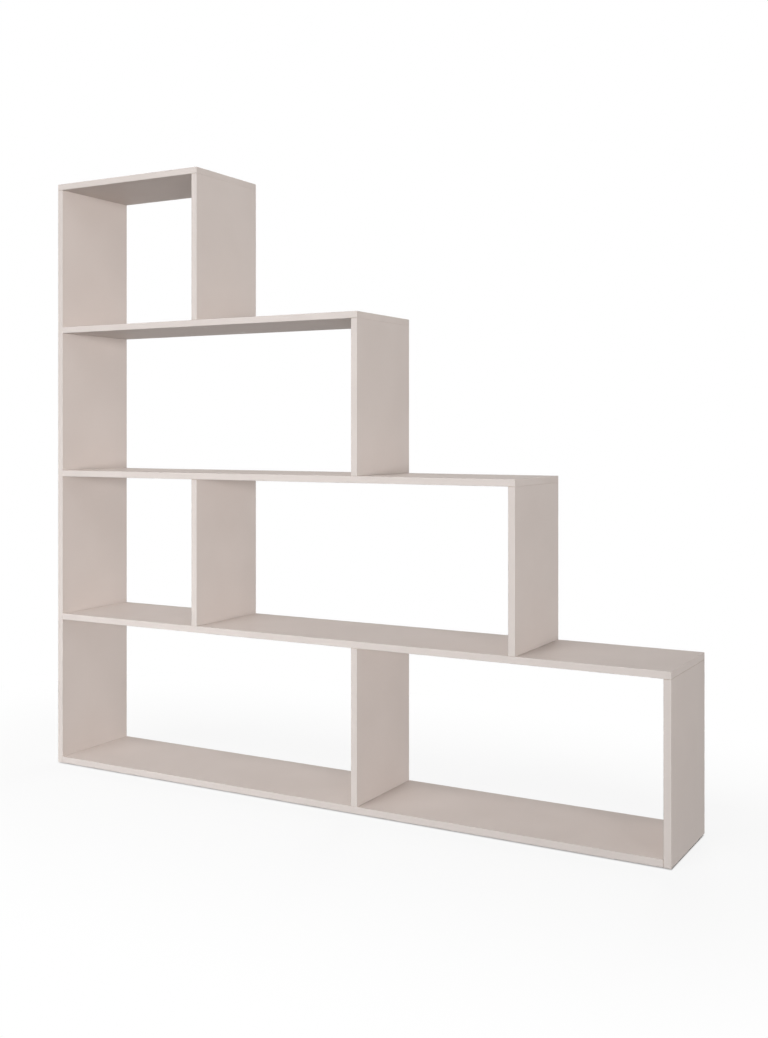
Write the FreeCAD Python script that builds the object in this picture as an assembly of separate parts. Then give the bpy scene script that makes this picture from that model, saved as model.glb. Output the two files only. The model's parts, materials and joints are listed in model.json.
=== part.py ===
import FreeCAD, Part
import math
import os

# An open bookshelf whose four tiers step down from a tall left side to the right.
# It is made of melamine-faced chipboard with a glued edging strip on every edge that shows.
# Countersunk screws enter where they are out of sight, under the shelves and on the tall outer
# side, and the other joints are dowelled. Tiers are counted from the floor, bays from the tall side.
# +X runs from the tall side to the low one, the front faces -Y and +Z is up. The origin is on
# the floor, under the middle of the width and of the depth. All sizes are in millimetres.

# Boards
board_thickness = 15.0
shelf_depth = 240.0
tier_height = 343.0
first_bay_width = 405.0
second_bay_width = 420.0
third_bay_width = 355.0
fourth_bay_width = 305.0

# Edging strips
edging_thickness = 1.0
edging_radius = 0.8
edging_least_flat = 0.1

# Joint screws, one-piece furniture screws with a 90 degree head and a hex socket
screw_length = 50.0
screw_diameter = 6.3
screw_head_diameter = 10.0
screw_tip_length = 5.0
screw_tip_diameter = 2.0
socket_width = 4.0
socket_depth = 3.0
screw_edge_distance = 45.0

# Dowels
dowel_diameter = 8.0
dowel_length = 30.0
dowel_face_depth = 10.0
dowel_edge_distance = 45.0

# Cover caps on the screw heads of the tall outer side
cap_diameter = 13.0
cap_thickness = 0.5

# Floor glides with a push-in peg
glide_height = 3.0
glide_side_margin = 1.0
glide_chamfer = 0.6
glide_edge_distance = 20.0
glide_peg_diameter = 5.0
glide_peg_length = 10.0

# Room in every bore, around the piece that it takes and beyond its end
bore_clearance = 0.05
bore_end_room = 1.0

# Screws, dowels, caps, glides and their bores repeat often, so they are drawn with few flat sides
hardware_sides = 16

# Sides of a board
UP = FreeCAD.Vector(0, 0, 1)
DOWN = FreeCAD.Vector(0, 0, -1)
RIGHT = FreeCAD.Vector(1, 0, 0)
LEFT = FreeCAD.Vector(-1, 0, 0)
FRONT = FreeCAD.Vector(0, -1, 0)
REAR = FreeCAD.Vector(0, 1, 0)
SIDE_NAMES = ((LEFT, "left"), (RIGHT, "right"), (FRONT, "front"), (REAR, "rear"))

# Left faces of the uprights, from the tall side to the low one
bay_widths = (first_bay_width, second_bay_width, third_bay_width, fourth_bay_width)
overall_width = sum(bay_widths) + (len(bay_widths) + 1) * board_thickness
upright_places = [-overall_width / 2]
for bay_width in bay_widths:
    upright_places.append(upright_places[-1] + board_thickness + bay_width)

# Undersides of the level boards, from the bottom board to the top board
tier_count = len(bay_widths)
level_pitch = tier_height + board_thickness
levels = [glide_height + level_pitch * number for number in range(tier_count + 1)]

front_face = -shelf_depth / 2
rear_face = shelf_depth / 2

# The outer arrises of the edging are rounded as far as the strip's own walls allow
arris_room = min(edging_thickness, board_thickness / 2) - edging_least_flat
arris_radius = min(edging_radius, arris_room)
same_place = 1e-6

nodes = {}
outlines = {}
bores = {}
fasteners = {}


def face_level(bounds, side):
    """Place of a box's face on one side, measured along that side's direction."""
    reach = bounds.XLength * abs(side.x) + bounds.YLength * abs(side.y) + bounds.ZLength * abs(side.z)
    return side.dot(bounds.Center) + reach / 2


def box(bounds):
    """Solid that fills a bounding box."""
    corner = FreeCAD.Vector(bounds.XMin, bounds.YMin, bounds.ZMin)
    return Part.makeBox(bounds.XLength, bounds.YLength, bounds.ZLength, corner)


def edge_lies_on(edge, bounds, side):
    """Whether an edge of a box lies in the box's face on that side."""
    level = face_level(bounds, side)
    return all(abs(side.dot(vertex.Point) - level) < same_place for vertex in edge.Vertexes)


def edging_strip(bounds, outward, free_sides):
    """Strip glued on a board's edge, its outer arrises rounded where nothing covers them."""
    strip = box(bounds)
    rounded = []
    for edge in strip.Edges:
        is_free = any(edge_lies_on(edge, bounds, side) for side in free_sides)
        if is_free and edge_lies_on(edge, bounds, outward):
            rounded.append(edge)
    return strip.makeFillet(arris_radius, rounded)


def strip_room(bounds, side):
    """The part of a board's box that the edging takes up on one side."""
    room = FreeCAD.BoundBox(bounds)
    if side == LEFT:
        room.XMax = bounds.XMin + edging_thickness
    if side == RIGHT:
        room.XMin = bounds.XMax - edging_thickness
    if side == FRONT:
        room.YMax = bounds.YMin + edging_thickness
    if side == REAR:
        room.YMin = bounds.YMax - edging_thickness
    return room


def add_board(name, x_range, z_range, broad_sides, edged_ends=()):
    """A board with its edging: front and rear strips in full length, end strips between them."""
    bounds = FreeCAD.BoundBox(x_range[0], front_face, z_range[0], x_range[1], rear_face, z_range[1])
    between = FreeCAD.BoundBox(bounds)
    between.YMin += edging_thickness
    between.YMax -= edging_thickness
    core = FreeCAD.BoundBox(between)
    if LEFT in edged_ends:
        core.XMin += edging_thickness
    if RIGHT in edged_ends:
        core.XMax -= edging_thickness
    outlines[name] = bounds
    bores[name] = []
    nodes[name] = box(core)
    for side, side_name in SIDE_NAMES:
        strip_name = f"{name}_{side_name}_edging"
        if side in (FRONT, REAR):
            free_sides = broad_sides + edged_ends
            nodes[strip_name] = edging_strip(strip_room(bounds, side), side, free_sides)
        elif side in edged_ends:
            nodes[strip_name] = edging_strip(strip_room(between, side), side, broad_sides)


def add_level_board(name, level, x_range, edged_ends=()):
    """A board that lies flat, with its underside at a level."""
    add_board(name, x_range, (level, level + board_thickness), (UP, DOWN), edged_ends)


def add_upright(name, place, z_range):
    """A board that stands on end, with its left face at a place."""
    add_board(name, (place, place + board_thickness), z_range, (LEFT, RIGHT))


# The tall side, and the level boards from the floor up
tall_side_inner_face = upright_places[0] + board_thickness
add_upright("left_side_panel", upright_places[0], (levels[0], levels[tier_count]))
add_level_board("bottom_board", levels[0], (tall_side_inner_face, upright_places[tier_count]))
for number, shelf_name in enumerate(("lower_shelf", "middle_shelf", "upper_shelf"), start=1):
    right_end = upright_places[tier_count + 1 - number] + board_thickness
    add_level_board(shelf_name, levels[number], (tall_side_inner_face, right_end), (RIGHT,))
top_board_range = (upright_places[0], upright_places[1] + board_thickness)
add_level_board("top_board", levels[tier_count], top_board_range, (LEFT, RIGHT))

# The right side of each tier; the lowest one runs down beside the bottom board
for tier in range(1, tier_count + 1):
    foot = levels[0] if tier == 1 else levels[tier - 1] + board_thickness
    add_upright(f"tier_{tier}_side_panel", upright_places[tier_count + 1 - tier], (foot, levels[tier]))

# The dividers of the two lower tiers
for tier, place in ((1, upright_places[2]), (2, upright_places[1])):
    add_upright(f"tier_{tier}_divider", place, (levels[tier - 1] + board_thickness, levels[tier]))


def polygon_ring(radius, height, sides):
    """Corners of a regular polygon about the Z axis."""
    turns = [2 * math.pi * number / sides for number in range(sides)]
    return [FreeCAD.Vector(radius * math.cos(turn), radius * math.sin(turn), height) for turn in turns]


def flat_face(corners):
    """Flat face inside a ring of corners."""
    return Part.Face(Part.makePolygon(corners + corners[:1]))


def many_sided(*rings):
    """Solid of flat sides about the Z axis, from the radius and height of its rings, lowest first."""
    corner_rings = [polygon_ring(radius, height, hardware_sides) for radius, height in rings]
    faces = [flat_face(corner_rings[0][::-1]), flat_face(corner_rings[-1])]
    for lower, upper in zip(corner_rings, corner_rings[1:]):
        for number in range(hardware_sides):
            before = number - 1
            faces.append(flat_face([lower[before], lower[number], upper[number], upper[before]]))
    return Part.makeSolid(Part.makeShell(faces))


def placed(shape, point, direction):
    """Copy of a shape made along +Z, moved to a point and turned to a direction."""
    copy = shape.copy()
    copy.Placement = FreeCAD.Placement(point, FreeCAD.Rotation(UP, direction))
    return copy


def joint_points(plate, end_board, plate_side, edge_distance):
    """Points on one face of a plate, front and rear, in line with the board that ends there."""
    middle = outlines[end_board].Center
    offset = face_level(outlines[plate], plate_side) - plate_side.dot(middle)
    for depth in (front_face + edge_distance, rear_face - edge_distance):
        point = middle + plate_side * offset
        point.y = depth
        yield point


# One joint screw, the top of its head at the origin and its tip towards +Z, and its two bores
screw_radius = screw_diameter / 2
screw_bore_radius = screw_radius + bore_clearance
head_radius = screw_head_diameter / 2
socket_ring = polygon_ring(socket_width / math.sqrt(3), 0, 6)
socket = flat_face(socket_ring).extrude(UP * socket_depth)
screw_blank = many_sided(
    (head_radius, 0),
    (screw_radius, head_radius - screw_radius),
    (screw_radius, screw_length - screw_tip_length),
    (screw_tip_diameter / 2, screw_length),
)
screw = screw_blank.cut(socket)
screw_plate_bore = many_sided(
    (head_radius, 0),
    (screw_bore_radius, head_radius - screw_bore_radius),
    (screw_bore_radius, board_thickness),
)
screw_end_bore = many_sided(
    (screw_bore_radius, board_thickness),
    (screw_bore_radius, screw_length + bore_end_room),
)
cap = many_sided((cap_diameter / 2, -cap_thickness), (cap_diameter / 2, 0))

# Screwed joints: the board that the screws pass through, the board they hold, and their direction
screwed_joints = (
    ("left_side_panel", "bottom_board", RIGHT),
    ("left_side_panel", "lower_shelf", RIGHT),
    ("left_side_panel", "middle_shelf", RIGHT),
    ("left_side_panel", "upper_shelf", RIGHT),
    ("bottom_board", "tier_1_divider", UP),
    ("lower_shelf", "tier_2_divider", UP),
    ("lower_shelf", "tier_2_side_panel", UP),
    ("middle_shelf", "tier_3_side_panel", UP),
    ("upper_shelf", "tier_4_side_panel", UP),
)
for plate, end_board, direction in screwed_joints:
    for point in joint_points(plate, end_board, -direction, screw_edge_distance):
        fasteners.setdefault(f"{plate}_screws", []).append(placed(screw, point, direction))
        bores[plate].append(placed(screw_plate_bore, point, direction))
        bores[end_board].append(placed(screw_end_bore, point, direction))
        if plate == "left_side_panel":
            fasteners.setdefault("screw_cover_caps", []).append(placed(cap, point, direction))

# One dowel, the joint's plane at the origin and the end board's share towards +Z, and its two bores
dowel_radius = dowel_diameter / 2
dowel_bore_radius = dowel_radius + bore_clearance
dowel_end_depth = dowel_length - dowel_face_depth
dowel = many_sided((dowel_radius, -dowel_face_depth), (dowel_radius, dowel_end_depth))
dowel_plate_bore = many_sided((dowel_bore_radius, -dowel_face_depth - bore_end_room), (dowel_bore_radius, 0))
dowel_end_bore = many_sided((dowel_bore_radius, 0), (dowel_bore_radius, dowel_end_depth + bore_end_room))

# Dowelled joints: the board bored in its face, the board bored in its end, and the way to that end
dowelled_joints = (
    ("tier_1_side_panel", "bottom_board", LEFT),
    ("lower_shelf", "tier_1_divider", DOWN),
    ("lower_shelf", "tier_1_side_panel", DOWN),
    ("middle_shelf", "tier_2_divider", DOWN),
    ("middle_shelf", "tier_2_side_panel", DOWN),
    ("upper_shelf", "tier_3_side_panel", DOWN),
    ("top_board", "tier_4_side_panel", DOWN),
    ("top_board", "left_side_panel", DOWN),
)
for plate, end_board, direction in dowelled_joints:
    for point in joint_points(plate, end_board, direction, dowel_edge_distance):
        fasteners.setdefault(f"{plate}_dowels", []).append(placed(dowel, point, direction))
        bores[plate].append(placed(dowel_plate_bore, point, direction))
        bores[end_board].append(placed(dowel_end_bore, point, direction))

# One floor glide, the board's underside at the origin and its peg towards +Z, and the peg's bore
glide_radius = board_thickness / 2 - glide_side_margin
peg_radius = glide_peg_diameter / 2
peg_bore_radius = peg_radius + bore_clearance
glide = many_sided(
    (glide_radius - glide_chamfer, -glide_height),
    (glide_radius, glide_chamfer - glide_height),
    (glide_radius, 0),
    (peg_radius, 0),
    (peg_radius, glide_peg_length),
)
peg_bore = many_sided((peg_bore_radius, 0), (peg_bore_radius, glide_peg_length + bore_end_room))

# Glides stand under the two outer sides, and under the bottom board in line with its divider
glide_seats = (
    ("left_side_panel", "left_side_panel"),
    ("bottom_board", "tier_1_divider"),
    ("tier_1_side_panel", "tier_1_side_panel"),
)
for carrier, board_above in glide_seats:
    for point in joint_points(carrier, board_above, DOWN, glide_edge_distance):
        fasteners.setdefault("floor_glides", []).append(placed(glide, point, UP))
        bores[carrier].append(placed(peg_bore, point, UP))

for name, cutters in bores.items():
    nodes[name] = nodes[name].cut(cutters)
for name, solids in fasteners.items():
    nodes[name] = Part.makeCompound(solids)

os.makedirs("parts", exist_ok=True)
for name, shape in nodes.items():
    shape.exportStep(f"parts/{name}.step")
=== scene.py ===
import json
import math

import bmesh
import bpy
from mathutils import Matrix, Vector


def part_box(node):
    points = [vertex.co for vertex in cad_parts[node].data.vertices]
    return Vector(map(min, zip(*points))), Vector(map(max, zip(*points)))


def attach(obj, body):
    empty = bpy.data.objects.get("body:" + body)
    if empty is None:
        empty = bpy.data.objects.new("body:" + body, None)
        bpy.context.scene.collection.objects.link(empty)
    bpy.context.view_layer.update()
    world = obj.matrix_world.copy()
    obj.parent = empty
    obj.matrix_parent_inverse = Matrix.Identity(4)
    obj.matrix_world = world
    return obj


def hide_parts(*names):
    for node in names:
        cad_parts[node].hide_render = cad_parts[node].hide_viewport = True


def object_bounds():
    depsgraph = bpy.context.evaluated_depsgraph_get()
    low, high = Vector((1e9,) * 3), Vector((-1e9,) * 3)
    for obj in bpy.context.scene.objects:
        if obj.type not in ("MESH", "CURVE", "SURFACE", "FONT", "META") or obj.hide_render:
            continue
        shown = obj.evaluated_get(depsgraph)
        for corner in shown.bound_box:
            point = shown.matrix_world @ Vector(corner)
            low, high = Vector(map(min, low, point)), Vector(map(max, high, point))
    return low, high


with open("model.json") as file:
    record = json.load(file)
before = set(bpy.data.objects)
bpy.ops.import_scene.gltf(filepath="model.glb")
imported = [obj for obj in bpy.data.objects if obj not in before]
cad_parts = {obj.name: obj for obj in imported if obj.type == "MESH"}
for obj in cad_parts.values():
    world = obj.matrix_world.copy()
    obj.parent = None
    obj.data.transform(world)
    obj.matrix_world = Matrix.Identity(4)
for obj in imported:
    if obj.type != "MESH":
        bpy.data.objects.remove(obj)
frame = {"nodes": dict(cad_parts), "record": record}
cad_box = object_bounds()


# Boards
# Twelve boards of 15 mm chipboard, pressed with matt taupe melamine paper on both broad faces.
# They are sawn to size, so the bare core shows on ends and in bores that no edging covers.
board_slot = "melamine_board"
paper_light = (0.604, 0.535, 0.498, 1.0)
paper_dark = (0.580, 0.511, 0.474, 1.0)
paper_cloud_scale = 7.0
paper_speck_scale = 650.0
paper_speck_dark = 0.985
paper_speck_light = 1.015
paper_gloss = 0.15
paper_smoothest = 0.52
paper_roughest = 0.62
pearl_scale = 1500.0
pearl_depth = 0.00003
pearl_strength = 0.3
chip_light = (0.47, 0.34, 0.21, 1.0)
chip_dark = (0.20, 0.125, 0.07, 1.0)
chip_scale = 240.0
chip_flatness = 3.0
core_roughness = 0.9
broad_face_limit = 0.99
pattern_low = 0.3
pattern_high = 0.7


def feed(tree, socket, value):
    """Gives a node's input a value, or a link from another node's output."""
    if isinstance(value, bpy.types.NodeSocket):
        tree.links.new(value, socket)
    else:
        socket.default_value = value


def add_node(tree, kind, values=None, **settings):
    """Adds a node with its settings, and feeds its inputs, by name or number."""
    node = tree.nodes.new(kind)
    for setting, value in settings.items():
        setattr(node, setting, value)
    for key, value in (values or {}).items():
        feed(tree, node.inputs[key], value)
    return node


def math_node(tree, operation, first, second=0.0):
    """Result of one sum on two values."""
    return add_node(tree, "ShaderNodeMath", {0: first, 1: second}, operation=operation).outputs[0]


def blank_material(name):
    """A new material with its node tree, Principled shader and object coordinates."""
    material = bpy.data.materials.new(name)
    material.use_nodes = True
    tree = material.node_tree
    shader = tree.nodes["Principled BSDF"]
    place = add_node(tree, "ShaderNodeTexCoord").outputs["Object"]
    return material, tree, shader, place


def noise(tree, place, scale, detail=2.0):
    """Value of a cloud pattern, 0 to 1, whose patches are about one metre divided by its scale."""
    pattern = {"Vector": place, "Scale": scale, "Detail": detail}
    return add_node(tree, "ShaderNodeTexNoise", pattern).outputs["Fac"]


def stretched(tree, place, axis, factor):
    """A place whose measure along one axis is multiplied by a factor."""
    scale = [factor if each == axis else 1.0 for each in "XYZ"]
    return add_node(tree, "ShaderNodeMapping", {"Vector": place, "Scale": scale}).outputs["Vector"]


def spread(tree, value, low, high):
    """A pattern's middle values stretched between two numbers."""
    ends = {
        "Value": value,
        "From Min": pattern_low,
        "From Max": pattern_high,
        "To Min": low,
        "To Max": high,
    }
    return add_node(tree, "ShaderNodeMapRange", ends).outputs["Result"]


def mixed(tree, share, first, second):
    """Colour between two others, which the mix node takes at inputs 6 and 7 and gives at output 2."""
    colours = {0: share, 6: first, 7: second}
    return add_node(tree, "ShaderNodeMix", colours, data_type="RGBA").outputs[2]


def dimmed(tree, colour, value):
    """A colour multiplied by a value."""
    return add_node(tree, "ShaderNodeVectorMath", {0: colour, 1: value}, operation="MULTIPLY").outputs[0]


def pressed(tree, shader, height, depth, strength):
    """Gives a surface fine relief of a real depth."""
    relief = {"Height": height, "Distance": depth, "Strength": strength}
    feed(tree, shader.inputs["Normal"], add_node(tree, "ShaderNodeBump", relief).outputs["Normal"])


def melamine_finish(name, thin_axis):
    """Melamine on the faces across a board's thin axis, and bare chipboard on its other faces."""
    material, tree, shader, place = blank_material(name)
    clouds = spread(tree, noise(tree, place, paper_cloud_scale), 0.0, 1.0)
    specks = spread(tree, noise(tree, place, paper_speck_scale), paper_speck_dark, paper_speck_light)
    paper = dimmed(tree, mixed(tree, clouds, paper_dark, paper_light), specks)

    cells = {"Vector": stretched(tree, place, thin_axis, chip_flatness), "Scale": chip_scale}
    chips = add_node(tree, "ShaderNodeTexVoronoi", cells).outputs["Color"]
    chip_shade = add_node(tree, "ShaderNodeSeparateXYZ", {0: chips}).outputs["X"]
    core = mixed(tree, chip_shade, chip_dark, chip_light)

    facing = add_node(tree, "ShaderNodeNewGeometry").outputs["True Normal"]
    along = add_node(tree, "ShaderNodeSeparateXYZ", {0: facing}).outputs[thin_axis]
    is_paper = math_node(tree, "GREATER_THAN", math_node(tree, "ABSOLUTE", along), broad_face_limit)
    feed(tree, shader.inputs["Base Color"], mixed(tree, is_paper, core, paper))

    pearl = noise(tree, place, pearl_scale)
    paper_roughness = spread(tree, pearl, paper_smoothest, paper_roughest)
    both = {"Value": is_paper, "To Min": core_roughness, "To Max": paper_roughness}
    feed(tree, shader.inputs["Roughness"], add_node(tree, "ShaderNodeMapRange", both).outputs["Result"])
    feed(tree, shader.inputs["Specular IOR Level"], paper_gloss)
    pressed(tree, shader, pearl, pearl_depth, pearl_strength)
    return material


def dress(node, material):
    """Gives a CAD node its material."""
    slots = frame["nodes"][node].data.materials
    slots.clear()
    slots.append(material)


def nodes_of(slot):
    """Names of the CAD nodes that share a material slot of the record."""
    return [row["node"] for row in frame["record"]["subparts"] if row["material_slot"] == slot]


upright_melamine = melamine_finish("upright_melamine", "X")
level_melamine = melamine_finish("level_melamine", "Z")
for board in nodes_of(board_slot):
    lowest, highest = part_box(board)
    stands = highest.x - lowest.x < highest.z - lowest.z
    dress(board, upright_melamine if stands else level_melamine)


# Edging strips
# Strips of 1 mm matt plastic, glued on every edge that shows, their outer arrises milled round.
# Along the fronts and rears they are a little darker and greyer than on the ends, where they match the
# printed paper.
# It is one plastic throughout: the darker tone on the fronts and rears is painted shade, and their greyer
# tone is partly its own and partly painted sheen. Where two boards meet, a strip is cut a hair short, so
# that the joint shows as a fine line.
edging_slot = "edging"
# Fronts and rears: the edging plastic painted darker as painted shade, and greyer partly as painted sheen.
long_edging_in_painted_shade_light = (0.568, 0.516, 0.489, 1.0)
long_edging_in_painted_shade_dark = (0.549, 0.498, 0.471, 1.0)
end_edging_light = (0.604, 0.535, 0.498, 1.0)
end_edging_dark = (0.580, 0.511, 0.474, 1.0)
edging_cloud_scale = 12.0
edging_gloss = 0.15
edging_smoothest = 0.54
edging_roughest = 0.62
edging_grain_scale = 2200.0
edging_grain_depth = 0.00002
edging_grain_strength = 0.25
joint_line = 0.0005
end_reach = 0.0008
weld_distance = 0.000001


def edging_finish(name, dark, light):
    """Matt extruded plastic with a fine even grain."""
    material, tree, shader, place = blank_material(name)
    clouds = spread(tree, noise(tree, place, edging_cloud_scale), 0.0, 1.0)
    feed(tree, shader.inputs["Base Color"], mixed(tree, clouds, dark, light))
    grain = noise(tree, place, edging_grain_scale)
    feed(tree, shader.inputs["Roughness"], spread(tree, grain, edging_smoothest, edging_roughest))
    feed(tree, shader.inputs["Specular IOR Level"], edging_gloss)
    pressed(tree, shader, grain, edging_grain_depth, edging_grain_strength)
    return material


def is_inside(point, box):
    """True where a point lies inside a box."""
    lowest, highest = box
    return all(lowest[axis] < point[axis] < highest[axis] for axis in range(3))


def merged_copy(node):
    """The mesh of a CAD node with its loose triangles joined, to be changed and freed by the caller."""
    shape = bmesh.new()
    shape.from_mesh(frame["nodes"][node].data)
    bmesh.ops.remove_doubles(shape, verts=shape.verts, dist=weld_distance)
    return shape


def cut_short(strip, boxes, material):
    """Makes a copy of a strip whose ends stop a hair short of the strips that they meet."""
    lowest, highest = boxes[strip]
    lengths = highest - lowest
    along = max(range(3), key=lambda axis: lengths[axis])
    shape = merged_copy(strip)
    for end, inward in ((lowest[along], 1.0), (highest[along], -1.0)):
        # An end meets another strip where the point just past it lies in that strip's box.
        past_end = (lowest + highest) / 2
        past_end[along] = end - inward * end_reach
        if any(is_inside(past_end, box) for box in boxes.values()):
            for vertex in shape.verts:
                if abs(vertex.co[along] - end) < end_reach:
                    vertex.co[along] += inward * joint_line
    mesh = bpy.data.meshes.new(f"{strip}_cut_short")
    shape.to_mesh(mesh)
    shape.free()
    mesh.materials.append(material)
    mesh.shade_flat()
    copy = bpy.data.objects.new(mesh.name, mesh)
    bpy.context.scene.collection.objects.link(copy)
    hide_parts(strip)
    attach(copy, "root")


# The strips on the fronts and rears get the copy painted darker as painted shade; the strips on the ends
# keep the paper's colour.
long_edging_in_painted_shade = edging_finish("long_edging_in_painted_shade", long_edging_in_painted_shade_dark, long_edging_in_painted_shade_light)
end_edging = edging_finish("end_edging", end_edging_dark, end_edging_light)
strip_boxes = {strip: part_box(strip) for strip in nodes_of(edging_slot)}
for strip, (lowest, highest) in strip_boxes.items():
    lies_on_end = highest.x - lowest.x < highest.y - lowest.y
    if lies_on_end:
        dress(strip, end_edging)
    else:
        cut_short(strip, strip_boxes, long_edging_in_painted_shade)


# Joint screws
# One-piece furniture screws of zinc-plated steel with a countersunk head, a hex socket and a coarse
# thread. They go up through the shelves and in from the tall outer side, two to a joint.
screw_slot = "screw_steel"
zinc_bright = (0.72, 0.71, 0.68, 1.0)
zinc_dull = (0.56, 0.55, 0.53, 1.0)
zinc_bright_roughness = 0.26
zinc_dull_roughness = 0.38
zinc_spangle_scale = 900.0
zinc_spangle_detail = 3.0
screw_sizes = {
    "Length": 0.05,
    "Head diameter": 0.01,
    "Rim": 0.0003,
    "Neck length": 0.012,
    "Neck diameter": 0.0062,
    "Core diameter": 0.0044,
    "Tip length": 0.005,
    "Tip diameter": 0.002,
    "Thread diameter": 0.0063,
    "Thread pitch": 0.003,
    "Socket width": 0.004,
    "Socket depth": 0.003,
}
screw_sides = 40
thread_steps = 20
thread_profile_sides = 4
socket_sides = 6
sharp_angle = math.radians(30)
rightward = (1.0, 0.0, 0.0)
upward = (0.0, 0.0, 1.0)


def zinc_finish():
    """Zinc plating with small bright and dull spangles."""
    material, tree, shader, place = blank_material("zinc_plated_steel")
    spangle = spread(tree, noise(tree, place, zinc_spangle_scale, zinc_spangle_detail), 0.0, 1.0)
    roughness = spread(tree, spangle, zinc_dull_roughness, zinc_bright_roughness)
    feed(tree, shader.inputs["Base Color"], mixed(tree, spangle, zinc_dull, zinc_bright))
    feed(tree, shader.inputs["Roughness"], roughness)
    feed(tree, shader.inputs["Metallic"], 1.0)
    return material


def solid_boxes(node):
    """Lowest and highest corner of each separate solid in a CAD node, in order of place."""
    shape = merged_copy(node)
    unseen = set(shape.verts)
    boxes = []
    while unseen:
        joined = [unseen.pop()]
        for vertex in joined:
            neighbours = {edge.other_vert(vertex) for edge in vertex.link_edges} & unseen
            unseen -= neighbours
            joined.extend(neighbours)
        lowest = [min(vertex.co[axis] for vertex in joined) for axis in range(3)]
        highest = [max(vertex.co[axis] for vertex in joined) for axis in range(3)]
        boxes.append((Vector(lowest), Vector(highest)))
    shape.free()
    return sorted(boxes, key=lambda corners: tuple(corners[0]))


def lies_level(box):
    """True where a fastener lies along the width, and false where it stands."""
    lengths = box[1] - box[0]
    return lengths.x > lengths.z


def near_ends(boxes, lies):
    """Middle of the left end of each piece that lies, or of the lower end of each that stands."""
    ends = []
    for lowest, highest in boxes:
        middle = (lowest + highest) / 2
        ends.append((lowest.x, middle.y, middle.z) if lies else (middle.x, middle.y, lowest.z))
    return ends


def half(tree, size):
    """Half of a size."""
    return math_node(tree, "DIVIDE", size, 2.0)


def shape_tree(name, sizes):
    """A tree that takes seats, a direction and named sizes, and gives pieces that stand on the seats."""
    tree = bpy.data.node_groups.new(name, "GeometryNodeTree")
    tree.interface.new_socket("Seats", in_out="INPUT", socket_type="NodeSocketGeometry")
    tree.interface.new_socket("Direction", in_out="INPUT", socket_type="NodeSocketVector")
    for size in sizes:
        tree.interface.new_socket(size, in_out="INPUT", socket_type="NodeSocketFloat")
    tree.interface.new_socket("Pieces", in_out="OUTPUT", socket_type="NodeSocketGeometry")
    return tree, tree.nodes.new("NodeGroupInput").outputs


def by_ring(tree, ring, values):
    """The value that belongs to a point's ring."""
    switch = add_node(tree, "GeometryNodeIndexSwitch", {"Index": ring}, data_type="FLOAT")
    while len(switch.index_switch_items) < len(values):
        switch.index_switch_items.new()
    for number, value in enumerate(values):
        feed(tree, switch.inputs[number + 1], value)
    return switch.outputs[0]


def turned_shape(tree, sides, rings, groove=0.0):
    """A turned body from the radius and height of its rings; a groove takes in every other corner."""
    steps = len(rings) - 1
    counts = {"Vertices": sides, "Side Segments": steps, "Radius": 1.0, "Depth": float(steps)}
    blank = add_node(tree, "GeometryNodeMeshCylinder", counts).outputs["Mesh"]
    point = add_node(tree, "GeometryNodeInputPosition").outputs[0]
    across = add_node(tree, "ShaderNodeSeparateXYZ", {0: point}).outputs
    # The blank's rings lie one apart about its middle, and the half makes each number round to its own.
    ring = math_node(tree, "ADD", across["Z"], steps / 2 + 0.5)
    radius = by_ring(tree, ring, [ring_radius for ring_radius, height in rings])
    if groove:
        corner = add_node(tree, "GeometryNodeInputIndex").outputs[0]
        is_groove = math_node(tree, "MODULO", corner, 2.0)
        taken_in = math_node(tree, "MULTIPLY", is_groove, groove)
        radius = math_node(tree, "MULTIPLY", radius, math_node(tree, "SUBTRACT", 1.0, taken_in))
    moved = {
        "X": math_node(tree, "MULTIPLY", across["X"], radius),
        "Y": math_node(tree, "MULTIPLY", across["Y"], radius),
        "Z": by_ring(tree, ring, [height for ring_radius, height in rings]),
    }
    corners = add_node(tree, "ShaderNodeCombineXYZ", moved).outputs[0]
    return add_node(tree, "GeometryNodeSetPosition", {"Geometry": blank, "Position": corners}).outputs[0]


def set_on_seats(tree, given, shape, material):
    """Ends a tree: its shape, smooth but for sharp edges, stands on every seat along the direction."""
    smooth = add_node(tree, "GeometryNodeSetShadeSmooth", {"Geometry": shape}).outputs[0]
    angle = add_node(tree, "GeometryNodeInputMeshEdgeAngle").outputs["Unsigned Angle"]
    is_sharp = add_node(tree, "FunctionNodeCompare", {"A": angle, "B": sharp_angle}).outputs[0]
    edges = {"Geometry": smooth, "Selection": is_sharp, "Shade Smooth": False}
    shaded = add_node(tree, "GeometryNodeSetShadeSmooth", edges, domain="EDGE").outputs[0]
    turn = add_node(tree, "FunctionNodeAlignRotationToVector", {"Vector": given["Direction"]}).outputs[0]
    stands = {"Points": given["Seats"], "Instance": shaded, "Rotation": turn}
    copies = add_node(tree, "GeometryNodeInstanceOnPoints", stands).outputs[0]
    real = add_node(tree, "GeometryNodeRealizeInstances", {"Geometry": copies}).outputs[0]
    painted = add_node(tree, "GeometryNodeSetMaterial", {"Geometry": real, "Material": material}).outputs[0]
    add_node(tree, "NodeGroupOutput", {"Pieces": painted})


def make_pieces(name, tree, seats, direction, sizes, replaced):
    """Makes one mesh of the pieces on their seats, which stands for a CAD node and rides with it."""
    mesh = bpy.data.meshes.new(name)
    mesh.from_pydata(seats, [], [])
    pieces = bpy.data.objects.new(name, mesh)
    bpy.context.scene.collection.objects.link(pieces)
    modifier = pieces.modifiers.new(tree.name, "NODES")
    modifier.node_group = tree
    inputs = {item.name: item.identifier for item in tree.interface.items_tree if item.in_out == "INPUT"}
    modifier[inputs["Direction"]] = direction
    for size, value in sizes.items():
        modifier[inputs[size]] = value
    evaluated = pieces.evaluated_get(bpy.context.evaluated_depsgraph_get())
    made = bpy.data.meshes.new_from_object(evaluated)
    pieces.modifiers.clear()
    pieces.data = made
    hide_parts(replaced)
    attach(pieces, "root")


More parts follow.
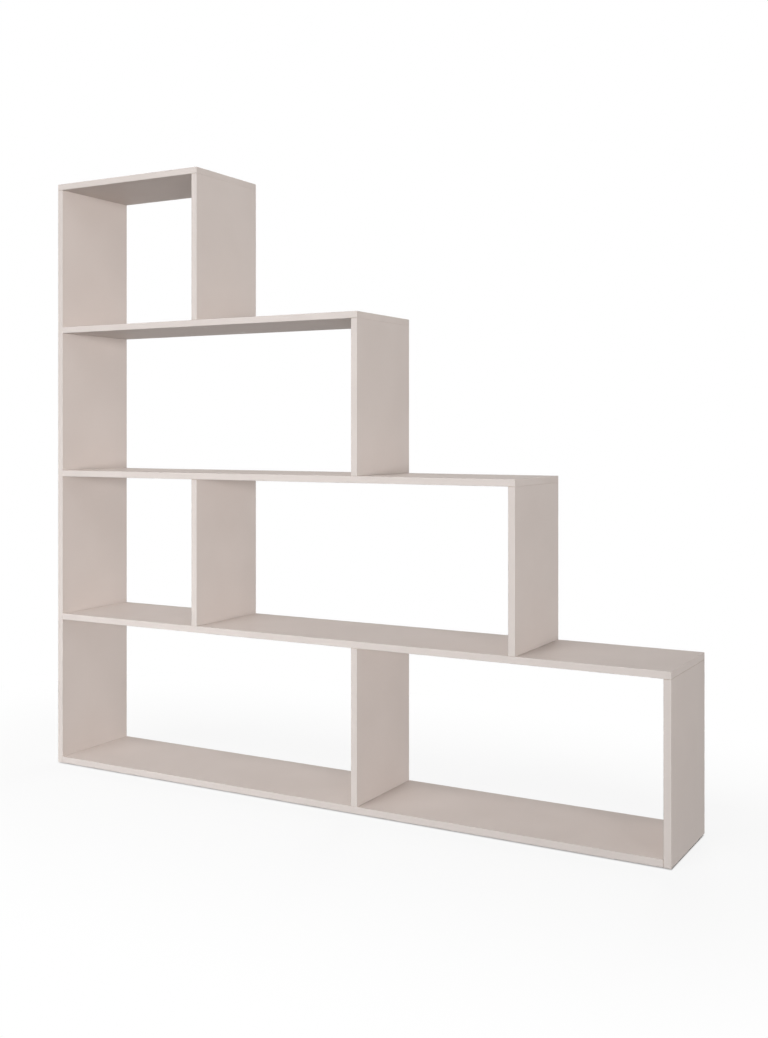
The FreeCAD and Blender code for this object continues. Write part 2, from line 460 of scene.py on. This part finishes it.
def screw_tree(material):
    """A screw, the top of its head on the seat and its tip along the direction."""
    tree, given = shape_tree("joint_screw", screw_sizes)
    head = half(tree, given["Head diameter"])
    neck = half(tree, given["Neck diameter"])
    core = half(tree, given["Core diameter"])
    tip = half(tree, given["Tip diameter"])
    cone_end = math_node(tree, "ADD", given["Rim"], math_node(tree, "SUBTRACT", head, neck))
    core_start = math_node(tree, "ADD", given["Neck length"], math_node(tree, "SUBTRACT", neck, core))
    core_end = math_node(tree, "SUBTRACT", given["Length"], given["Tip length"])
    blank = turned_shape(tree, screw_sides, (
        (math_node(tree, "SUBTRACT", head, given["Rim"]), 0.0),
        (head, given["Rim"]),
        (neck, cone_end),
        (neck, given["Neck length"]),
        (core, core_start),
        (core, core_end),
        (tip, given["Length"]),
    ))

    thread_length = math_node(tree, "SUBTRACT", core_end, core_start)
    spiral = {
        "Resolution": thread_steps,
        "Rotations": math_node(tree, "DIVIDE", thread_length, given["Thread pitch"]),
        "Start Radius": core,
        "End Radius": core,
        "Height": thread_length,
    }
    line = add_node(tree, "GeometryNodeCurveSpiral", spiral).outputs[0]
    upright = add_node(tree, "GeometryNodeSetCurveNormal", {"Curve": line}, mode="Z_UP").outputs[0]
    ridge = math_node(tree, "SUBTRACT", half(tree, given["Thread diameter"]), core)
    section = {"Resolution": thread_profile_sides, "Radius": ridge}
    profile = add_node(tree, "GeometryNodeCurvePrimitiveCircle", section).outputs[0]
    sweep = {"Curve": upright, "Profile Curve": profile, "Fill Caps": True}
    wound = add_node(tree, "GeometryNodeCurveToMesh", sweep).outputs[0]
    lift = add_node(tree, "ShaderNodeCombineXYZ", {"Z": core_start}).outputs[0]
    thread = add_node(tree, "GeometryNodeTransform", {"Geometry": wound, "Translation": lift}).outputs[0]
    threaded = add_node(tree, "GeometryNodeMeshBoolean", operation="UNION", solver="MANIFOLD")
    tree.links.new(blank, threaded.inputs["Mesh 2"])
    tree.links.new(thread, threaded.inputs["Mesh 2"])

    # A hex key's corners lie its width divided by the root of three from its middle. It reaches as far
    # out of the head as into it, so that the cut is clean.
    key = {
        "Vertices": socket_sides,
        "Radius": math_node(tree, "DIVIDE", given["Socket width"], math.sqrt(3)),
        "Depth": math_node(tree, "MULTIPLY", given["Socket depth"], 2.0),
    }
    socket = add_node(tree, "GeometryNodeMeshCylinder", key).outputs["Mesh"]
    cut = {"Mesh 1": threaded.outputs["Mesh"], "Mesh 2": socket}
    screw = add_node(tree, "GeometryNodeMeshBoolean", cut, operation="DIFFERENCE", solver="MANIFOLD")
    set_on_seats(tree, given, screw.outputs["Mesh"], material)
    return tree


joint_screw = screw_tree(zinc_finish())
for screws in nodes_of(screw_slot):
    boxes = solid_boxes(screws)
    lies = lies_level(boxes[0])
    heads = near_ends(boxes, lies)
    direction = rightward if lies else upward
    make_pieces(f"{screws}_threaded", joint_screw, heads, direction, screw_sizes, screws)


# Cover caps
# Thin self-adhesive discs of moulded plastic in the boards' colour, a little domed.
# They hide the screw heads on the tall outer side.
cap_slot = "cap_plastic"
cap_sides = 48
cap_rim_share = 0.4
cap_dome_steps = 5
cap_dome_turn = math.radians(80)
leftward = (-1.0, 0.0, 0.0)


def moulded_plastic(name, light, dark, smoothest, roughest, grain_scale, grain_depth, grain_strength):
    """Moulded plastic that its own fine grain mottles faintly."""
    material, tree, shader, place = blank_material(name)
    grain = noise(tree, place, grain_scale)
    feed(tree, shader.inputs["Base Color"], mixed(tree, grain, dark, light))
    feed(tree, shader.inputs["Roughness"], spread(tree, grain, smoothest, roughest))
    pressed(tree, shader, grain, grain_depth, grain_strength)
    return material


def cap_tree(material):
    """A cap, its flat back on the seat and its dome along the direction."""
    tree, given = shape_tree("cover_cap", ("Diameter", "Thickness"))
    radius = half(tree, given["Diameter"])
    rings = [(radius, 0.0)]
    for step in range(cap_dome_steps):
        turn = cap_dome_turn * step / (cap_dome_steps - 1)
        height_share = cap_rim_share + (1 - cap_rim_share) * math.sin(turn) / math.sin(cap_dome_turn)
        ring_radius = math_node(tree, "MULTIPLY", radius, math.cos(turn))
        rings.append((ring_radius, math_node(tree, "MULTIPLY", given["Thickness"], height_share)))
    set_on_seats(tree, given, turned_shape(tree, cap_sides, rings), material)
    return tree


satin_plastic = moulded_plastic(
    "cap_plastic",
    light=(0.617, 0.545, 0.507, 1.0),
    dark=(0.597, 0.525, 0.487, 1.0),
    smoothest=0.36,
    roughest=0.46,
    grain_scale=1800.0,
    grain_depth=0.00002,
    grain_strength=0.2,
)
cover_cap = cap_tree(satin_plastic)
for caps in nodes_of(cap_slot):
    boxes = solid_boxes(caps)
    lengths = boxes[0][1] - boxes[0][0]
    cap_sizes = {"Diameter": lengths.z, "Thickness": lengths.x}
    backs = []
    for lowest, highest in boxes:
        middle = (lowest + highest) / 2
        backs.append((highest.x, middle.y, middle.z))
    make_pieces(f"{caps}_domed", cover_cap, backs, leftward, cap_sizes, caps)


# Dowels
# Beech dowels with pressed flutes and chamfered ends, glued into the bores of the joints that have
# no screws, two to a joint.
dowel_slot = "dowel_wood"
beech_light = (0.63, 0.45, 0.28, 1.0)
beech_dark = (0.50, 0.33, 0.19, 1.0)
beech_light_roughness = 0.65
beech_dark_roughness = 0.8
beech_grain_scale = 600.0
beech_grain_detail = 4.0
beech_grain_stretch = 0.06
dowel_flutes = 20
dowel_flute_depth = 0.08
dowel_chamfer = 0.001


def beech_finish(name, grain_axis):
    """Beech whose grain runs along one axis."""
    material, tree, shader, place = blank_material(name)
    grain_place = stretched(tree, place, grain_axis, beech_grain_stretch)
    grain = noise(tree, grain_place, beech_grain_scale, beech_grain_detail)
    shade = spread(tree, grain, 0.0, 1.0)
    roughness = spread(tree, grain, beech_dark_roughness, beech_light_roughness)
    feed(tree, shader.inputs["Base Color"], mixed(tree, shade, beech_dark, beech_light))
    feed(tree, shader.inputs["Roughness"], roughness)
    return material


def dowel_tree(name, material):
    """A dowel, one end on the seat and the other along the direction."""
    tree, given = shape_tree(name, ("Length", "Diameter", "Chamfer"))
    radius = half(tree, given["Diameter"])
    end_radius = math_node(tree, "SUBTRACT", radius, given["Chamfer"])
    dowel = turned_shape(tree, dowel_flutes * 2, (
        (end_radius, 0.0),
        (radius, given["Chamfer"]),
        (radius, math_node(tree, "SUBTRACT", given["Length"], given["Chamfer"])),
        (end_radius, given["Length"]),
    ), dowel_flute_depth)
    set_on_seats(tree, given, dowel, material)
    return tree


level_dowel = dowel_tree("level_dowel", beech_finish("level_beech", "X"))
upright_dowel = dowel_tree("upright_dowel", beech_finish("upright_beech", "Z"))
for dowels in nodes_of(dowel_slot):
    boxes = solid_boxes(dowels)
    lengths = boxes[0][1] - boxes[0][0]
    dowel_sizes = {"Length": max(lengths), "Diameter": min(lengths), "Chamfer": dowel_chamfer}
    lies = lies_level(boxes[0])
    ends = near_ends(boxes, lies)
    tree, direction = (level_dowel, rightward) if lies else (upright_dowel, upward)
    make_pieces(f"{dowels}_fluted", tree, ends, direction, dowel_sizes, dowels)


# Floor glides
# Round feet of dark moulded plastic with a ribbed peg, pressed into bores under the outer sides and
# under the bottom board. They keep the bare lower edges off the floor.
glide_boxes = solid_boxes("floor_glides")
glide_extent = glide_boxes[0][1] - glide_boxes[0][0]
glide_sizes = {
    "Diameter": glide_extent.x,
    "Height": 0.003,
    "Sole round": 0.0012,
    "Edge round": 0.0008,
    "Peg diameter": 0.005,
    "Peg end": glide_extent.z,
    "Rib depth": 0.0003,
    "Tip length": 0.0015,
}
glide_sides = 48
sole_round_degrees = (0, 30, 60, 90)
peg_rib_count = 4
peg_rib_peak = 0.3
peg_tip_share = 0.6


def glide_tree(material):
    """A glide, its sole on the seat and its ribbed peg along the direction."""
    tree, given = shape_tree("floor_glide", glide_sizes)
    radius = half(tree, given["Diameter"])
    peg = half(tree, given["Peg diameter"])
    waist = math_node(tree, "SUBTRACT", peg, given["Rib depth"])
    rings = []
    for degrees in sole_round_degrees:
        turn = math.radians(degrees)
        drawn_in = math_node(tree, "MULTIPLY", given["Sole round"], 1 - math.sin(turn))
        raised = math_node(tree, "MULTIPLY", given["Sole round"], 1 - math.cos(turn))
        rings.append((math_node(tree, "SUBTRACT", radius, drawn_in), raised))
    rings.append((radius, math_node(tree, "SUBTRACT", given["Height"], given["Edge round"])))
    rings.append((math_node(tree, "SUBTRACT", radius, given["Edge round"]), given["Height"]))
    rings.append((waist, given["Height"]))
    ribbed_end = math_node(tree, "SUBTRACT", given["Peg end"], given["Tip length"])
    ribbed_length = math_node(tree, "SUBTRACT", ribbed_end, given["Height"])
    for rib in range(peg_rib_count):
        for rib_radius, share in ((peg, peg_rib_peak), (waist, 1.0)):
            along = math_node(tree, "MULTIPLY", ribbed_length, (rib + share) / peg_rib_count)
            rings.append((rib_radius, math_node(tree, "ADD", given["Height"], along)))
    rings.append((math_node(tree, "MULTIPLY", waist, peg_tip_share), given["Peg end"]))
    set_on_seats(tree, given, turned_shape(tree, glide_sides, rings), material)
    return tree


matt_plastic = moulded_plastic(
    "glide_plastic",
    light=(0.045, 0.042, 0.040, 1.0),
    dark=(0.028, 0.026, 0.025, 1.0),
    smoothest=0.5,
    roughest=0.62,
    grain_scale=1600.0,
    grain_depth=0.00003,
    grain_strength=0.3,
)
floor_glide = glide_tree(matt_plastic)
soles = near_ends(glide_boxes, lies=False)
make_pieces("floor_glides_ribbed", floor_glide, soles, upward, glide_sizes, "floor_glides")


# Floor and surround
# A wide white floor that keeps the soft shadow, and a white surround that gives the even light of a
# studio, from below too. What the camera and reflections see of both is plain white.
floor_half_width = 12.0
floor_colour = (0.70, 0.70, 0.695, 1.0)
white_colour = (1.0, 1.0, 1.0, 1.0)
white_strength = 1.0
white_begins = 0.001
white_near_object = 0.88
shade_under_front = 0.0105
shade_under_side = 0.0018
shadow_reach = 0.9
light_from_above = 0.19
light_from_below = 0.32
horizon_blur = 0.1


def seen_directly(tree):
    """One where a ray comes from the camera, a reflection or clear matter, and nought elsewhere."""
    ray = add_node(tree, "ShaderNodeLightPath").outputs
    seen = math_node(tree, "MAXIMUM", ray["Is Camera Ray"], ray["Is Glossy Ray"])
    return math_node(tree, "MAXIMUM", seen, ray["Is Transmission Ray"])


def past_edge(tree, along, half_length):
    """How far a point of the floor lies outside the object's edge, measured along one axis."""
    return math_node(tree, "SUBTRACT", math_node(tree, "ABSOLUTE", along), half_length)


def whiteness_near(tree, past, shade_under):
    """Whiteness of the floor by one edge of the object: none well under it, most of it just outside."""
    gap = {"Value": past, "From Min": -shade_under, "From Max": white_begins, "To Max": white_near_object}
    return add_node(tree, "ShaderNodeMapRange", gap).outputs["Result"]


def floor_finish():
    """Matt white paint, dark under the object, that grows plain white away from it; clear from below."""
    paint = bpy.data.materials.new("floor_paint")
    paint.use_nodes = True
    tree = paint.node_tree
    tree.nodes.clear()
    place = add_node(tree, "ShaderNodeTexCoord").outputs["Object"]
    across = add_node(tree, "ShaderNodeSeparateXYZ", {0: place}).outputs
    past_sides = past_edge(tree, across["X"], cad_box[1][0])
    past_front = past_edge(tree, across["Y"], cad_box[1][1])
    near_sides = whiteness_near(tree, past_sides, shade_under_side)
    near_front = whiteness_near(tree, past_front, shade_under_front)
    near = math_node(tree, "MAXIMUM", near_sides, near_front)

    beside = math_node(tree, "MAXIMUM", past_sides, 0.0)
    before = math_node(tree, "MAXIMUM", past_front, 0.0)
    apart = add_node(tree, "ShaderNodeCombineXYZ", {"X": beside, "Y": before}).outputs[0]
    distance = add_node(tree, "ShaderNodeVectorMath", {0: apart}, operation="LENGTH").outputs["Value"]
    fade = {"Value": distance, "From Max": shadow_reach, "To Max": 1 - white_near_object}
    far = add_node(tree, "ShaderNodeMapRange", fade, interpolation_type="SMOOTHSTEP").outputs["Result"]
    whiteness = math_node(tree, "ADD", near, far)
    share = math_node(tree, "MULTIPLY", seen_directly(tree), whiteness)

    matt = add_node(tree, "ShaderNodeBsdfDiffuse", {"Color": floor_colour}).outputs[0]
    plain = {"Color": white_colour, "Strength": white_strength}
    plain_white = add_node(tree, "ShaderNodeEmission", plain).outputs[0]
    from_above = add_node(tree, "ShaderNodeMixShader", {0: share, 1: matt, 2: plain_white}).outputs[0]
    clear = add_node(tree, "ShaderNodeBsdfTransparent").outputs[0]
    is_below = add_node(tree, "ShaderNodeNewGeometry").outputs["Backfacing"]
    both = add_node(tree, "ShaderNodeMixShader", {0: is_below, 1: from_above, 2: clear}).outputs[0]
    add_node(tree, "ShaderNodeOutputMaterial", {"Surface": both})
    return paint


def studio_surround():
    """Soft light of one level from above and another from below, that is seen as plain white."""
    world = bpy.data.worlds.new("studio_surround")
    world.use_nodes = True
    tree = world.node_tree
    tree.nodes.clear()
    way = add_node(tree, "ShaderNodeTexCoord").outputs["Generated"]
    rise = add_node(tree, "ShaderNodeSeparateXYZ", {0: way}).outputs["Z"]
    horizon = {
        "Value": rise,
        "From Min": -horizon_blur,
        "From Max": horizon_blur,
        "To Min": light_from_below,
        "To Max": light_from_above,
    }
    level = add_node(tree, "ShaderNodeMapRange", horizon).outputs["Result"]
    soft = {"Color": white_colour, "Strength": level}
    soft_light = add_node(tree, "ShaderNodeBackground", soft).outputs[0]
    plain = {"Color": white_colour, "Strength": white_strength}
    plain_white = add_node(tree, "ShaderNodeBackground", plain).outputs[0]
    both = {0: seen_directly(tree), 1: soft_light, 2: plain_white}
    seen_and_given = add_node(tree, "ShaderNodeMixShader", both).outputs[0]
    add_node(tree, "ShaderNodeOutputWorld", {"Surface": seen_and_given})
    return world


floor_mesh = bpy.data.meshes.new("floor")
floor_corners = [(-1, -1), (1, -1), (1, 1), (-1, 1)]
floor_points = [(x * floor_half_width, y * floor_half_width, 0.0) for x, y in floor_corners]
floor_mesh.from_pydata(floor_points, [], [(0, 1, 2, 3)])
floor_mesh.materials.append(floor_finish())
floor = bpy.data.objects.new("floor", floor_mesh)
bpy.context.scene.collection.objects.link(floor)
# The surround lights the undersides through the floor, so the floor itself throws no light back.
floor.visible_diffuse = False
bpy.context.scene.world = studio_surround()


# Lamps
# Six soft boxes: one far out on the camera's side that reaches evenly into the compartments, one high
# in front and a weaker one to its left for the tops and the front edges, a weak one low on the left,
# one beside the tall outer side, and one behind for the rear edges.
def soft_box(name, place, aim, width, power, beam_degrees=180.0):
    """A square lamp at a place, turned to a point, that the camera doesn't see."""
    lamp = bpy.data.lights.new(name, "AREA")
    lamp.size = width
    lamp.energy = power
    lamp.spread = math.radians(beam_degrees)
    box = bpy.data.objects.new(name, lamp)
    box.location = place
    box.rotation_euler = (Vector(aim) - Vector(place)).to_track_quat("-Z", "Y").to_euler()
    box.visible_camera = False
    bpy.context.scene.collection.objects.link(box)
    return box


soft_box(
    "camera_side_box",
    place=(7.35, -6.7, 1.0),
    aim=(-0.6, 0.0, 1.05),
    width=2.0,
    power=41.5,
    beam_degrees=40.0,
)
soft_box(
    "high_front_box",
    place=(-0.1, -4.0, 5.2),
    aim=(-0.1, 0.0, 0.75),
    width=2.5,
    power=168.0,
)
soft_box(
    "high_left_box",
    place=(-2.25, -3.75, 3.25),
    aim=(-0.1, 0.0, 0.75),
    width=2.0,
    power=36.0,
)
soft_box(
    "low_left_box",
    place=(-1.8, -2.6, 0.45),
    aim=(-0.5, 0.0, 0.1),
    width=1.2,
    power=2.4,
    beam_degrees=45.0,
)
soft_box(
    "outer_side_box",
    place=(-4.5, 0.2, 1.2),
    aim=(-0.78, 0.0, 0.75),
    width=1.8,
    power=50.0,
)
rear_box = soft_box(
    "rear_box",
    place=(-0.6, 5.1, 1.4),
    aim=(-0.2, 0.0, 0.75),
    width=1.8,
    power=204.0,
)
# Reflected in the tops, which the camera sees at a flat angle, it would lay a glare on them.
rear_box.visible_glossy = False


# Camera
# It stands level in front of the low end, about as high as the middle of the third tier, and looks
# back towards the tall end. The picture is taller than wide, so the sensor's size spans its height.
photograph_height = 1038
focal_length_pixels = 1237.4
horizon_row = 432.7
sensor_size = 36.0
camera_place = (1.4516, -2.4259, 0.8281)
camera_tilt = math.radians(90)
camera_turn = math.radians(29.304)

lens = bpy.data.cameras.new("camera")
lens.sensor_width = sensor_size
lens.lens = sensor_size * focal_length_pixels / photograph_height
lens.shift_y = (horizon_row - photograph_height / 2) / photograph_height
camera = bpy.data.objects.new("camera", lens)
camera.location = camera_place
camera.rotation_euler = (camera_tilt, 0.0, camera_turn)
bpy.context.scene.collection.objects.link(camera)
bpy.context.scene.camera = camera
bpy.context.scene.view_settings.view_transform = "Standard"
